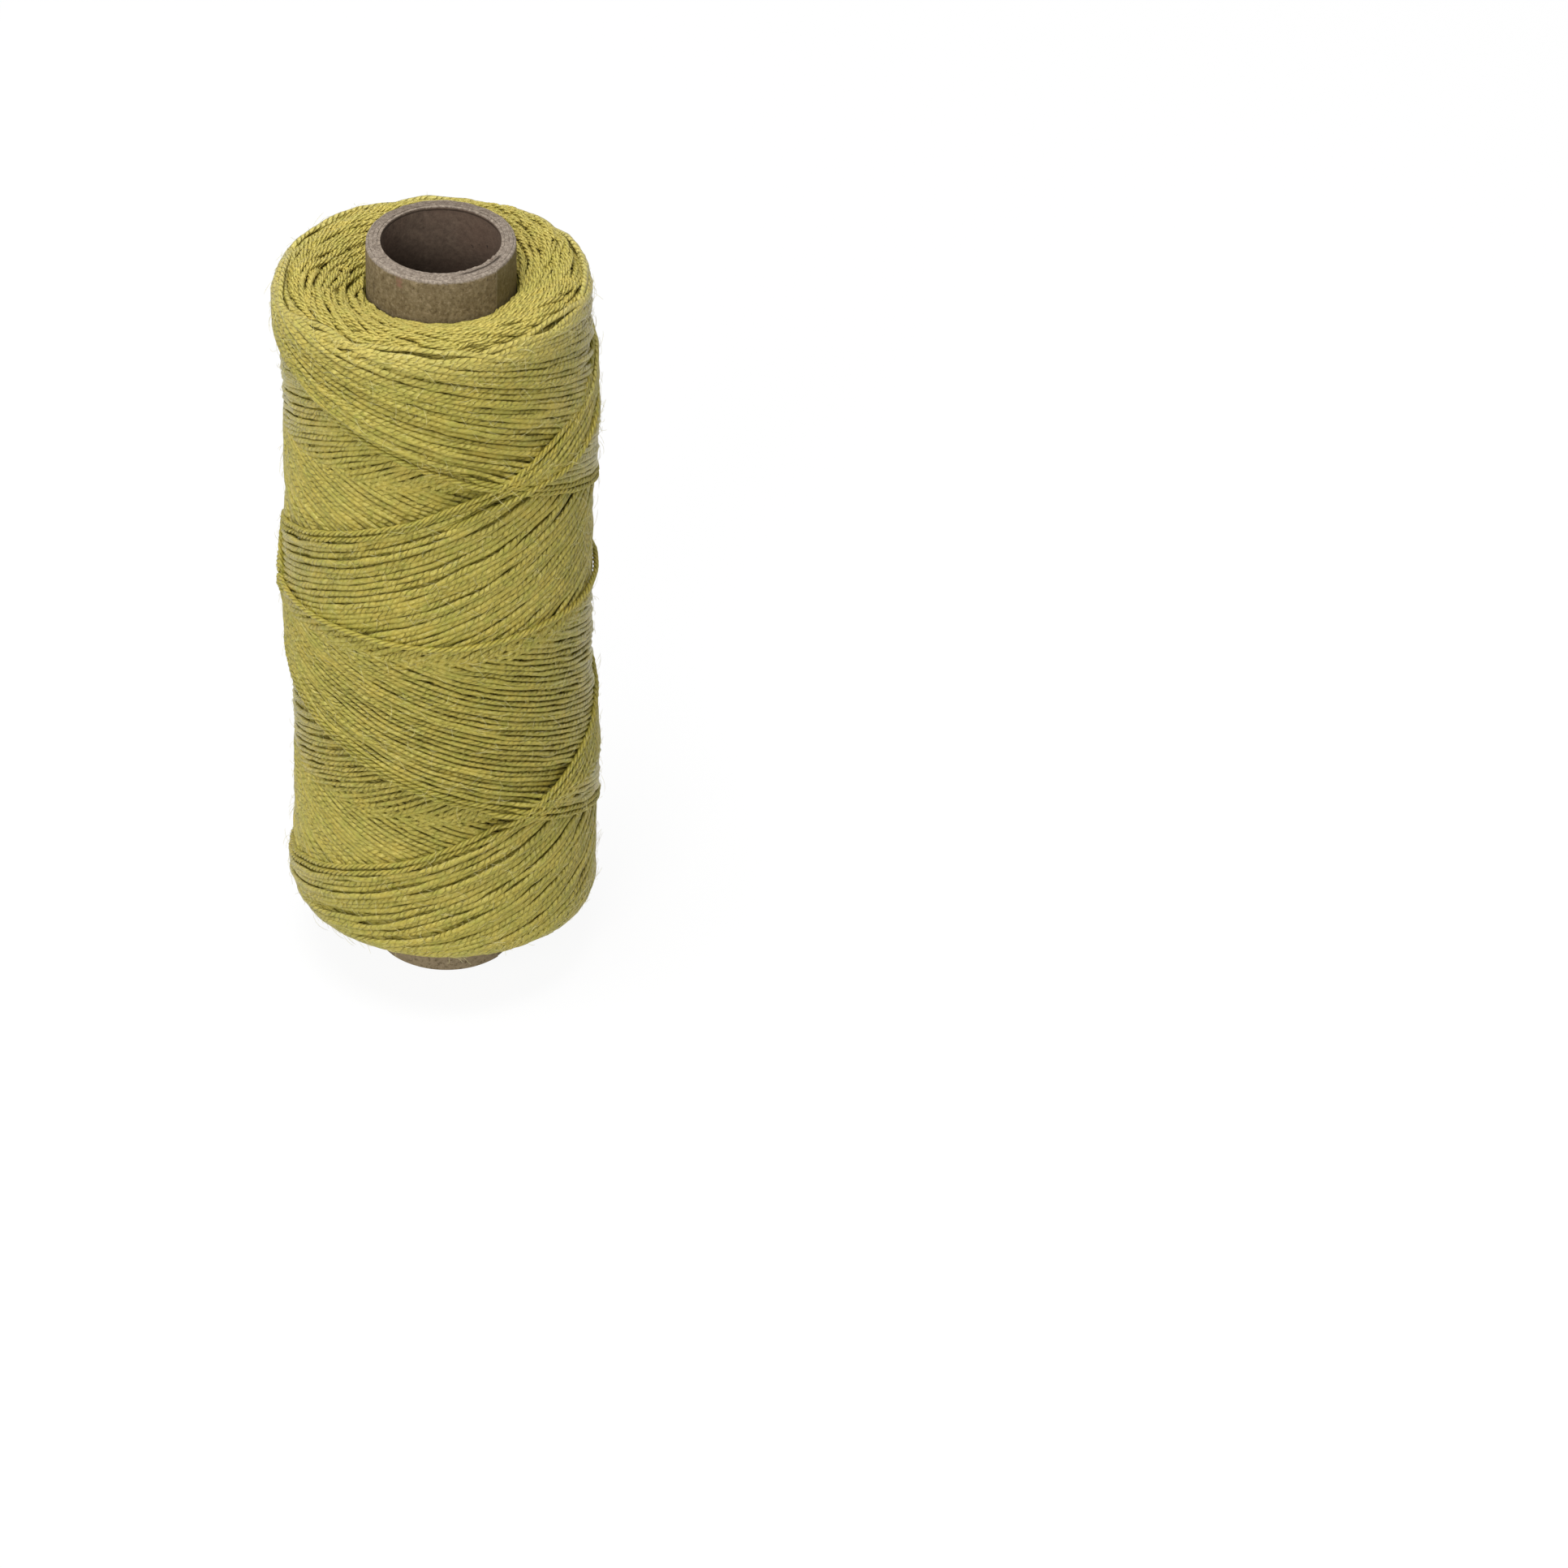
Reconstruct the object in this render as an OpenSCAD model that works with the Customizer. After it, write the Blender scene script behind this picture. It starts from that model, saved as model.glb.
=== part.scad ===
// Spool of waxed thread: a laminated paper tube that is cross-wound with one length of thread.
// Millimetres. +Z runs along the tube, and the origin is the centre of its lower rim.

/* [Paper tube] */
// Length of the tube
tube_len = 91; // [70:1:160]
// Diameter of the bore
bore_d = 12.7; // [10:0.1:16]
// Thickness of the liner ply
liner_t = 0.34; // [0.2:0.01:0.6]
// Thickness of each of the two board plies
board_t = 0.42; // [0.3:0.01:0.8]
// Thickness of the kraft wrap
wrap_t = 0.41; // [0.2:0.01:0.6]
// Glue between one ply and the next
glue_line = 0.02; // [0.01:0.01:0.05]
// How far the liner and the wrap stop short of the boards at each rim
rim_setback = 0.15; // [0.05:0.05:1]

/* [Winding] */
// Bare tube below the winding
bare_base = 9; // [2:0.1:12]
// Bare tube above the winding
bare_top = 5.3; // [2:0.1:12]
// Outside diameter of the winding over its crossed threads
wind_d = 35; // [32:0.1:60]
// Rise of the end faces from the tube out to their crest
end_dish = 1.8; // [0.2:0.1:2.5]
// Radius of the upper shoulder
top_shoulder_r = 3; // [3:0.1:5.5]
// Radius of the lower shoulder
base_shoulder_r = 3; // [3:0.1:5.5]
// How much smaller the radius is at mid height
waist = 0.25; // [0:0.05:0.6]
// Clearance between the tube and the winding
tube_fit = 0.02; // [0.01:0.01:0.1]

/* [Thread] */
// Diameter of the waxed thread
thread_d = 0.65; // [0.4:0.05:0.8]
// Up-and-down strokes of the outer layer
stroke_count = 6; // [4:1:6]
// Angle at which the outer layer starts
start_angle = 0; // [0:5:355]
// Part of each shoulder's quarter round that the outer layer turns over
shoulder_wrap_angle = 35; // [20:1:45]
// Gap where the outer layer crosses itself
cross_gap = 0.43; // [0.42:0.01:0.8]
// Gap between a thread and what it lies on
lay_gap = 0.06; // [0.05:0.01:0.2]

/* [Thread ends] */
// Length of the starting end, which lies on the tube under the winding
start_len = 30; // [15:1:45]
// Row of crossings that the tie-off turn lies over, counted from the lowest thread
tie_row = 12; // [4:1:14]
// Column of crossings beside which the tie-off turn starts
tie_column = 3; // [0:1:3]

/* [Hidden] */
$fn = 96;

// Radii of the plies, from the bore outwards
liner_r = bore_d / 2;
board_inner_r = liner_r + liner_t + glue_line;
board_outer_r = board_inner_r + board_t + glue_line;
wrap_r = board_outer_r + board_t + glue_line;
tube_r = wrap_r + wrap_t;

// A thread has a six-sided section with two flats parallel to the winding's surface
thread_sides = 6;
thread_reach = thread_d / 2 * cos(180 / thread_sides);

// The rings of the outer layer lie on both sides of each crossing
ring_step = 90 / stroke_count;
rings_per_stroke = 16 * stroke_count - 4;
half_stroke = rings_per_stroke / 2;
ring_count = stroke_count * rings_per_stroke;
turn_rings = 3;
chord_sag = wind_d / 2 * (1 - cos(ring_step / 2));

// Heights of the thread's centre over the core: under a crossing, over it, and over them all
lay_low = thread_reach + chord_sag + lay_gap;
lay_high = lay_low + thread_d + cross_gap;
lay_tie = lay_high + 2 * thread_reach + lay_gap;

// The core is the winding without its outer layer
core_r = wind_d / 2 - lay_high - thread_reach;
core_bore_r = tube_r + tube_fit;
wind_top = tube_len - bare_top;
base_crest = bare_base - end_dish;
top_crest = wind_top + end_dish;
straight_base = base_crest + base_shoulder_r;
straight_len = top_crest - top_shoulder_r - straight_base;

// Stretch of the profile that the outer layer covers, and its climb for each ring
base_wrap = base_shoulder_r * shoulder_wrap_angle * PI / 180;
top_wrap = top_shoulder_r * shoulder_wrap_angle * PI / 180;
travel = base_wrap + straight_len + top_wrap;
ring_climb = travel / (half_stroke - turn_rings);

tube_color = "tan";
rim_color = "rosybrown";
core_color = "olive";
thread_color = "darkkhaki";

// How much the winding is drawn in at a distance along its straight part
function waist_at(along) = waist * (1 - cos(360 * along / straight_len)) / 2;

// A place on the winding: s along its profile from the lowest thread, a round it, h over the core.
// It gives the point and the direction in which s runs there.
function place(s, a, h) =
    let (along = min(max(s - base_wrap, 0), straight_len),
         shoulder_r = s < base_wrap ? base_shoulder_r : top_shoulder_r,
         tilt = (s - base_wrap - along) / shoulder_r * 180 / PI,
         r = core_r - waist_at(along) - shoulder_r + (shoulder_r + h) * cos(tilt),
         z = straight_base + along + (shoulder_r + h) * sin(tilt))
    [[r * cos(a), r * sin(a), z], [-sin(tilt) * cos(a), -sin(tilt) * sin(a), cos(tilt)]];

// Distance climbed, in rings, after v rings from the lower turn, with both turns rounded
function climb(v) =
    v < turn_rings ? v * v / (2 * turn_rings)
    : v > half_stroke - turn_rings
        ? half_stroke - turn_rings - pow(half_stroke - v, 2) / (2 * turn_rings)
        : v - turn_rings / 2;

// A later stroke lies over an earlier one: true where ring n passes over what it crosses.
// On the way up, stroke i meets the way down of stroke i + k, and k counts the crossings to the top.
function passes_over(n) =
    let (stroke = floor(n / rings_per_stroke),
         u = n + 0.5 - stroke * rings_per_stroke,
         going_up = u < half_stroke,
         k = round(abs(half_stroke - u) / 2),
         other = ((going_up ? stroke + k : stroke - k) + 8 * stroke_count) % stroke_count)
    going_up ? other < stroke : other <= stroke;

function lay_height(n) =
    n == 0 || n == ring_count - 1 || passes_over(n) ? lay_high : lay_low;

function ring_place(n, h) =
    let (u = (n + 0.5) % rings_per_stroke,
         v = min(u, rings_per_stroke - u))
    place(climb(v) * ring_climb, start_angle + (n + 0.5) * ring_step, h);

// An end of a thread bends down square to the core and stops on it: pairs of distance and drop
function dive(h) =
    let (bend = h - thread_d - lay_gap)
    concat([for (q = [30, 60, 90]) [bend * sin(q), bend * (1 - cos(q))]], [[bend, h - lay_gap]]);

// The same end as places, from a start at s, a and h, running on in direction dir
function dive_places(s, a, h, dir) =
    [for (d = dive(h)) place(s, a + dir * d[0] / core_r * 180 / PI, h - d[1])];

function reversed(list) = [for (i = [len(list) - 1:-1:0]) list[i]];

function unit(v) = v / norm(v);

// Rings of corners round each place of a route, with their flats parallel to the surface
function thread_ring(places, i) =
    let (before = places[max(i - 1, 0)][0],
         after = places[min(i + 1, len(places) - 1)][0],
         forward = unit(after - before),
         lift = unit(cross(forward, places[i][1])),
         side = cross(lift, forward))
    [for (k = [0:thread_sides - 1])
        places[i][0] + thread_d / 2 * (cos(360 * k / thread_sides) * side
                                       + sin(360 * k / thread_sides) * lift)];

// One unbroken thread along a route of places
module thread(places) {
    rings = len(places);
    corners = [for (i = [0:rings - 1]) each thread_ring(places, i)];
    walls = [for (i = [0:rings - 2], k = [0:thread_sides - 1])
        let (a = i * thread_sides + k,
             b = i * thread_sides + (k + 1) % thread_sides)
        each [[a, b + thread_sides, b], [a, a + thread_sides, b + thread_sides]]];
    last = (rings - 1) * thread_sides;
    caps = [for (k = [1:thread_sides - 2])
        each [[0, k, k + 1], [last, last + k + 1, last + k]]];
    polyhedron(points = corners, faces = concat(walls, caps));
}

// Least gap of a thread to itself, on its places and the points midway between them
function least_gap(places, apart) =
    let (last = len(places) - 1,
         points = concat([for (i = [0:last - 1])
             each [places[i][0], (places[i][0] + places[i + 1][0]) / 2]], [places[last][0]]))
    min([for (i = [0:len(points) - 1], j = [i + 2 * apart:1:len(points) - 1])
        norm(points[j] - points[i])]) - thread_d;

outer_layer_route = concat(
    reversed(dive_places(climb(0.5) * ring_climb, start_angle + ring_step / 2, lay_high, -1)),
    [for (n = [0:ring_count - 1]) ring_place(n, lay_height(n))],
    dive_places(climb(0.5) * ring_climb, start_angle - ring_step / 2, lay_high, 1));

// The tie-off starts between four crossings, one row above its own, comes down to its row in four
// rings, and stops between two crossings half a column short of a full turn
column_step = 4 * ring_step;
tie_angle = start_angle + column_step * (tie_column + (tie_row % 2) / 2);
tie_rings = 4 * stroke_count - 2;
function tie_along(i) = ring_climb * (2 * tie_row - turn_rings / 2 + 2 * pow(max(1 - i / 4, 0), 2));
function tie_place(i) = place(tie_along(i), tie_angle + i * ring_step, lay_tie);

tie_off_route = concat(
    reversed(dive_places(tie_along(0), tie_angle, lay_tie, -1)),
    [for (i = [0:tie_rings]) tie_place(i)],
    dive_places(tie_along(tie_rings), tie_angle + tie_rings * ring_step, lay_tie, 1));

// How far a cut runs past the ends of what it cuts
cut_past = 1;

// One ply of the tube, with its two ends set back from the rim
module ply(inner_r, thickness, setback) {
    translate([0, 0, setback])
        difference() {
            cylinder(h = tube_len - 2 * setback, r = inner_r + thickness);
            translate([0, 0, -cut_past])
                cylinder(h = tube_len - 2 * setback + 2 * cut_past, r = inner_r);
        }
}

module tube_liner() {
    color(rim_color)
        ply(liner_r, liner_t, rim_setback);
}

module tube_board_inner() {
    color(rim_color)
        ply(board_inner_r, board_t, 0);
}

module tube_board_outer() {
    color(rim_color)
        ply(board_outer_r, board_t, 0);
}

module tube_wrap() {
    color(tube_color)
        ply(wrap_r, wrap_t, rim_setback);
}

// The starting end lies along the tube at mid height, in a groove that the first turns leave round it
start_r = tube_r + lay_gap + thread_d / 2;
start_z = (bare_base + wind_top - start_len) / 2;

module thread_start() {
    color(thread_color)
        translate([start_r, 0, start_z])
            cylinder(h = start_len, d = thread_d);
}

// Half of the core's profile: dished end faces, rounded shoulders and a slight waist
arc_steps = 8;
waist_steps = 12;
crest_r = core_r - top_shoulder_r;
core_profile = concat(
    [[core_bore_r, bare_base]],
    [for (i = [0:arc_steps])
        let (q = 90 * (1 - i / arc_steps))
        [core_r - base_shoulder_r + base_shoulder_r * cos(q), straight_base - base_shoulder_r * sin(q)]],
    [for (i = [1:waist_steps - 1])
        let (along = straight_len * i / waist_steps)
        [core_r - waist_at(along), straight_base + along]],
    [for (i = [0:arc_steps])
        let (q = 90 * i / arc_steps)
        [crest_r + top_shoulder_r * cos(q), straight_base + straight_len + top_shoulder_r * sin(q)]],
    [[core_bore_r, wind_top]]);

module thread_inner_windings() {
    color(core_color)
        difference() {
            rotate_extrude()
                polygon(core_profile);
            translate([start_r, 0, start_z - lay_gap])
                cylinder(h = start_len + 2 * lay_gap, d = thread_d + 2 * lay_gap);
        }
}

module thread_outer_layer() {
    echo(outer_layer_turns = ring_count * ring_step / 360, least_gap = least_gap(outer_layer_route, 8));
    color(thread_color)
        thread(outer_layer_route);
}

module thread_tie_off() {
    echo(tie_off_least_gap = least_gap(tie_off_route, 6));
    color(thread_color)
        thread(tie_off_route);
}

tube_liner();
tube_board_inner();
tube_board_outer();
tube_wrap();
thread_start();
thread_inner_windings();
thread_outer_layer();
thread_tie_off();
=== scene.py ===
import math

import bpy
import numpy as np
from mathutils import Matrix, Vector


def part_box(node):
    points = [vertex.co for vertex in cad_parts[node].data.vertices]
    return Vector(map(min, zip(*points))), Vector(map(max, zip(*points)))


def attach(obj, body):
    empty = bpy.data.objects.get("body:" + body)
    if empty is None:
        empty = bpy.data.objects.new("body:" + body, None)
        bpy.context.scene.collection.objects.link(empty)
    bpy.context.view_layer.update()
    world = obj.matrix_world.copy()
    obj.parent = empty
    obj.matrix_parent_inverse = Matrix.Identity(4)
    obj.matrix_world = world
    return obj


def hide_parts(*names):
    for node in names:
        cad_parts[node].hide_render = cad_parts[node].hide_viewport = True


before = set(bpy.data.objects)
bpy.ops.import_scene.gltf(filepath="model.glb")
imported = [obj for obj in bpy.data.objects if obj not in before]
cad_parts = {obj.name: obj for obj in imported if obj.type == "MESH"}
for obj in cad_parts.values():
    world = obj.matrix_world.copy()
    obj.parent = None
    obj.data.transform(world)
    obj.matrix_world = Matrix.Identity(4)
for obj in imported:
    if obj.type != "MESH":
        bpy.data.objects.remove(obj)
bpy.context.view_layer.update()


# Liner: the innermost ply of the tube, a strip of thin dark paper rolled on a mandrel. Its ends overlap
# as a small step in the bore, and at one place handling has scuffed its rim into loose flakes.

MM = 0.001


class Shade:
    """A shader value: sums written with it add their Math nodes."""

    def __init__(self, nodes, socket):
        self.nodes, self.socket = nodes, socket

    def math(self, operation, *others):
        return self.nodes.node("ShaderNodeMath", {"operation": operation}, dict(enumerate((self, *others))))

    def __add__(self, other):
        return self.math("ADD", other)

    def __sub__(self, other):
        return self.math("SUBTRACT", other)

    def __mul__(self, other):
        return self.math("MULTIPLY", other)

    def __rsub__(self, other):
        return self.math("MULTIPLY_ADD", -1.0, other)

    def __pow__(self, other):
        return self.math("POWER", other)

    __radd__ = __add__
    __rmul__ = __mul__

    def between(self, low, high):
        """0 at low, 1 at high, smooth between them and flat beyond."""
        return self.nodes.node(
            "ShaderNodeMapRange",
            {"interpolation_type": "SMOOTHSTEP"},
            {"Value": self, "From Min": low, "From Max": high},
        )


class Nodes:
    """A node tree, and the one method that adds its nodes."""

    def __init__(self, tree):
        self.tree = tree

    def join(self, place, value):
        if isinstance(value, Shade):
            self.tree.links.new(value.socket, place)
        elif isinstance(value, tuple) and place.type == "RGBA":
            place.default_value = (*value, 1.0)
        else:
            place.default_value = value

    def node(self, kind, settings=None, values=None, out=0):
        made = self.tree.nodes.new(kind)
        for name, setting in (settings or {}).items():
            setattr(made, name, setting)
        for place, value in (values or {}).items():
            self.join(made.inputs[place], value)
        return Shade(self, made.outputs[out])


class Finish(Nodes):
    """A material on a Principled shader."""

    def __init__(self, name, roughness, specular):
        self.material = bpy.data.materials.new(name)
        self.material.use_nodes = True
        super().__init__(self.material.node_tree)
        self.shader = self.tree.nodes["Principled BSDF"]
        self.shader.inputs["Roughness"].default_value = roughness
        self.shader.inputs["Specular IOR Level"].default_value = specular

    def mix(self, share, low, high):
        return self.node("ShaderNodeMix", {"data_type": "RGBA"}, {0: share, 6: low, 7: high}, out=2)

    def place(self, scale=(1, 1, 1)):
        where = self.node("ShaderNodeTexCoord", out=3)
        return self.node("ShaderNodeMapping", None, {"Vector": where, "Scale": scale})

    def noise(self, where, size, detail, rough=0.55):
        """Noise about 0.5, with features of that size in metres."""
        values = {"Vector": where, "Scale": 1 / size, "Detail": detail, "Roughness": rough}
        return self.node("ShaderNodeTexNoise", None, values)

    def axis(self, where, name):
        """One coordinate of a place: X, Y or Z."""
        return self.node("ShaderNodeSeparateXYZ", None, {0: where}, out=name)

    def colour(self, value):
        self.join(self.shader.inputs["Base Color"], value)

    def bump(self, height, depth, strength=1.0, under=None):
        values = {"Height": height, "Distance": depth, "Strength": strength}
        if under is not None:
            values["Normal"] = under
        normal = self.node("ShaderNodeBump", None, values)
        self.join(self.shader.inputs["Normal"], normal)
        return normal


def finish_piece(piece, name, finish, slot, *nodes):
    """Names a finished piece, gives it its material, attaches it to the root body and hides the CAD nodes
    that it stands for.
    """
    piece.name = name
    piece.data.name = name
    piece.data.materials.clear()
    piece.data.materials.append(finish.material)
    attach(piece, "root")
    if nodes:
        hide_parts(*nodes)


def bend_noise(values, seed, waves, low, high):
    """Seeded smooth noise of about unit size over an angle, from waves of low to high cycles a turn."""
    rng = np.random.default_rng(seed)
    total = np.zeros_like(values, dtype=float)
    for _ in range(waves):
        total += rng.normal() * np.cos(rng.integers(low, high + 1) * values + rng.uniform(0, 2 * math.pi))
    return total / math.sqrt(waves)


def ramp(distance, reach):
    """0 up to where a distance starts, 1 from its reach on, and straight between."""
    return np.clip(distance / reach, 0, 1)


ply_sides = 288
loops_from_rim = (0.25, 0.7, 1.6, 5)
sharp_angle = math.radians(50)


def paper_ply(inner, outer, low, high, round_edge):
    """A ply of the tube: a thin wall with loops close to both rims, in millimetres."""
    middle = (low + high) / 2
    bpy.ops.object.select_all(action="DESELECT")
    bpy.ops.mesh.primitive_cylinder_add(
        vertices=ply_sides, radius=outer, depth=high - low, end_fill_type="NOTHING", location=(0, 0, middle)
    )
    wall = bpy.context.object
    bpy.ops.object.transform_apply(location=True, rotation=True, scale=True)
    bpy.ops.object.mode_set(mode="EDIT")
    loops = [low + d for d in loops_from_rim] + [middle] + [high - d for d in reversed(loops_from_rim)]
    for height in loops:
        bpy.ops.mesh.select_all(action="SELECT")
        bpy.ops.mesh.bisect(plane_co=(0, 0, height), plane_no=(0, 0, 1))
    bpy.ops.object.mode_set(mode="OBJECT")
    thick = wall.modifiers.new("thick", "SOLIDIFY")
    thick.thickness, thick.offset = outer - inner, -1
    bpy.ops.object.modifier_apply(modifier="thick")
    edge = wall.modifiers.new("edge", "BEVEL")
    edge.width, edge.segments, edge.limit_method, edge.angle_limit = round_edge, 2, "ANGLE", sharp_angle
    bpy.ops.object.modifier_apply(modifier="edge")
    return wall


def move_points(piece, move):
    """Moves every point by a function of its angle, radius and height in millimetres, and leaves metres."""
    co = np.empty(len(piece.data.vertices) * 3)
    piece.data.vertices.foreach_get("co", co)
    co = co.reshape(-1, 3)
    angle, radius, height = move(np.arctan2(co[:, 1], co[:, 0]), np.hypot(co[:, 0], co[:, 1]), co[:, 2])
    co = np.stack([radius * np.cos(angle), radius * np.sin(angle), height], 1) * MM
    piece.data.vertices.foreach_set("co", co.ravel())
    piece.data.update()
    bpy.ops.object.shade_smooth_by_angle(angle=sharp_angle)
    return piece


def step_at(angle, edge, reach):
    """A lap: 1 just past the edge, fading out over the reach, so that the edge is a step."""
    behind = (angle - edge) % (2 * math.pi)
    return np.clip(1 - behind / reach, 0, 1) ** 1.5


liner_inner, liner_outer, liner_low, liner_high = 6.35, 6.69, 0.15, 90.85
liner_lap = math.radians(104)
flake_from, flake_to, flake_fade = math.radians(-78), math.radians(-22), 0.12
cut_slope = 0.042


def cut_of_top(angle, radius):
    """The top of the tube is cut slightly out of square: lower at the front, higher at the back."""
    return cut_slope * radius * np.sin(angle)


def shape_liner(angle, radius, height):
    """Thins the ply past its lap, peels it at the flakes and gives it a ragged, slanting rim."""
    lap_step, lap_reach, rim_reach = 0.10, 1.1, 0.8
    inside = (liner_outer - radius) / (liner_outer - liner_inner)
    radius = radius + lap_step * step_at(angle, liner_lap, lap_reach) * inside
    at_top = ramp(height - liner_high + rim_reach, rim_reach)
    flaking = ramp(angle - flake_from, flake_fade) * ramp(flake_to - angle, flake_fade)
    peel = (0.15 + 0.05 * bend_noise(angle, 3, 8, 12, 40)) * flaking * at_top**1.5
    ragged = (0.012 + 0.06 * flaking) * bend_noise(angle, 4, 9, 4, 60)
    proud = 0.07 - 0.05 * flaking + ragged + cut_of_top(angle, radius)
    return angle, radius - peel, height + at_top * proud


liner = move_points(paper_ply(liner_inner, liner_outer, liner_low, liner_high, round_edge=0.03), shape_liner)
liner_paper = Finish("liner_paper", roughness=0.9, specular=0.15)
where = liner_paper.place()
pulp = liner_paper.noise(where, 0.0007, 5, 0.7)
blotch = liner_paper.noise(where, 0.006, 3)
specks = liner_paper.node("ShaderNodeTexVoronoi", None, {"Vector": where, "Scale": 700.0})
dark = 1 - specks.between(0.10, 0.22)
north, height = liner_paper.axis(where, "Y"), liner_paper.axis(where, "Z")
tone = liner_paper.mix(pulp.between(0.25, 0.75), (0.082, 0.057, 0.042), (0.160, 0.115, 0.082))
tone = liner_paper.mix(blotch.between(0.35, 0.7) * 0.5, tone, (0.122, 0.075, 0.054))
tone = liner_paper.mix(dark * pulp.between(0.5, 0.6), tone, (0.028, 0.019, 0.015))
# Painted shade: the liner darkens below the rim, deeper into the bore.
tone = liner_paper.mix(height.between(0.0900, 0.0820) * 0.75, tone, (0.034, 0.022, 0.015))
cut = liner_paper.noise(where, 0.0004, 5, 0.7)
cut_tone = liner_paper.mix(cut.between(0.35, 0.65), (0.13, 0.102, 0.080), (0.29, 0.24, 0.19))
above_cut = height - north * cut_slope + cut * 0.00012
# Painted shadow: a thin dark line just under the liner's rim, at the back of the bore only.
painted_lip_shadow = above_cut.between(0.09050, 0.09058) * above_cut.between(0.09078, 0.09070)
painted_lip_shadow = painted_lip_shadow * north.between(0.0005, 0.0030)
tone = liner_paper.mix(painted_lip_shadow * 0.7, tone, (0.022, 0.015, 0.010))
liner_paper.colour(liner_paper.mix(above_cut.between(0.09082, 0.09092), tone, cut_tone))
liner_paper.bump(pulp + 0.5 * blotch, 0.00008)
finish_piece(liner, "liner", liner_paper, "tube_liner", "tube_liner")


# Boards: two plies of grey board glued round the liner. They carry the load, and their cut ends make
# the rim, whose outer edge is worn down and furred by handling.

board_edges = [
    ("board_inner", "tube_board_inner", 6.71, 7.13),
    ("board_outer", "tube_board_outer", 7.15, 7.57),
]
tube_height = 91.0
worn_from, worn_reach, worn_depth = 6.9, 1.1, 0.16


def worn_rim(radius):
    """How far the rim lies below the tube's full height at a radius."""
    return worn_depth * ramp(radius - worn_from, worn_reach) ** 2


def shape_board(angle, radius, height):
    """Wears the rim down and makes it ragged."""
    rim_reach = 0.7
    at_top = ramp(height - tube_height + rim_reach, rim_reach)
    ragged = bend_noise(angle, 5, 9, 3, 14) + 0.5 * bend_noise(angle + radius, 6, 12, 17, 48)
    drop = worn_rim(radius) - cut_of_top(angle, radius) + 0.028 * (1.2 + ragged).clip(0)
    return angle, radius, height - at_top * drop


rim_board = Finish("rim_board", roughness=0.95, specular=0.1)
where = rim_board.place()
fur = rim_board.noise(where, 0.00036, 5, 0.75)
lumps = rim_board.noise(where, 0.0010, 4, 0.65)
board_dark = (0.155, 0.124, 0.097)
tone = rim_board.mix(fur.between(0.36, 0.66), board_dark, (0.345, 0.290, 0.235))
tone = rim_board.mix(lumps.between(0.42, 0.70) * 0.5, tone, (0.200, 0.160, 0.124))
east, north = rim_board.axis(where, "X"), rim_board.axis(where, "Y")
# Painted shade: the rim is darker towards the back.
tone = rim_board.mix(north.between(0.001, 0.007) * 0.45, tone, (0.125, 0.095, 0.070))
bearing, from_axis = north.math("ARCTAN2", east), (east * east + north * north) ** 0.5 + lumps * 0.0002
crack = from_axis.between(0.00687, 0.00694) * from_axis.between(0.00722, 0.00714)
crack = crack * bearing.between(flake_from, flake_from + 0.15) * bearing.between(flake_to, flake_to - 0.15)
rim_board.colour(rim_board.mix(crack * fur.between(0.34, 0.46) * 0.9, tone, (0.040, 0.030, 0.022)))
rim_board.bump(fur, 0.00014, 1.0, rim_board.bump(lumps, 0.00030, 1.0))
for name, node, inner, outer in board_edges:
    board = move_points(paper_ply(inner, outer, 0.0, tube_height, round_edge=0.012), shape_board)
    finish_piece(board, name, rim_board, "tube_board", node)


# Wrap: a kraft sheet glued round the boards with its fibres upright. Its outer end shows as a straight
# lap edge, and the top edge is scuffed, with a reddish rub and a nick.

wrap_inner, wrap_outer, wrap_low, wrap_high = 7.59, 8.0, 0.15, 90.85
wrap_lap = math.radians(-43)


def shape_wrap(angle, radius, height):
    """Thickens the ply at its lap, waves its outside a little and wears its rim down, in and ragged."""
    lap_step, lap_reach, rim_reach = 0.10, 0.9, 0.9
    outside = (radius - wrap_inner) / (wrap_outer - wrap_inner)
    lap = step_at(-angle, -wrap_lap, lap_reach) * lap_step
    radius = radius - (0.08 - 1.3 * lap) * outside + 0.012 * bend_noise(angle, 8, 7, 2, 12) * outside
    at_top = ramp(height - wrap_high + rim_reach, rim_reach)
    ragged = bend_noise(angle, 9, 9, 5, 22) + 0.15 * bend_noise(angle, 10, 14, 23, 50)
    drop = worn_rim(radius) - cut_of_top(angle, radius) - wrap_low + 0.10 * outside**2
    drop = drop + 0.028 * (1.0 + ragged).clip(0)
    return angle, radius - (0.05 + 0.010 * ragged) * at_top**4 * outside, height - at_top * drop


wrap = move_points(paper_ply(wrap_inner, wrap_outer, wrap_low, wrap_high, round_edge=0.06), shape_wrap)
kraft = Finish("kraft_wrap", roughness=0.82, specular=0.25)
where = kraft.place()
upright = kraft.noise(kraft.place((1, 1, 0.45)), 0.0005, 5, 0.7)
pulp = kraft.noise(where, 0.00042, 5, 0.75)
blotch = kraft.noise(where, 0.0018, 4, 0.65)
specks = kraft.node("ShaderNodeTexVoronoi", None, {"Vector": kraft.place((1, 1, 0.8)), "Scale": 900.0})
east, north, height = (kraft.axis(where, name) for name in "XYZ")
bearing = north.math("ARCTAN2", east)
tone = kraft.mix(upright.between(0.3, 0.7), (0.150, 0.112, 0.055), (0.222, 0.170, 0.090))
tone = kraft.mix(blotch.between(0.42, 0.62) * 0.3, tone, (0.150, 0.104, 0.050))
tone = kraft.mix(blotch.between(0.50, 0.34) * 0.25, tone, (0.255, 0.192, 0.110))
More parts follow.
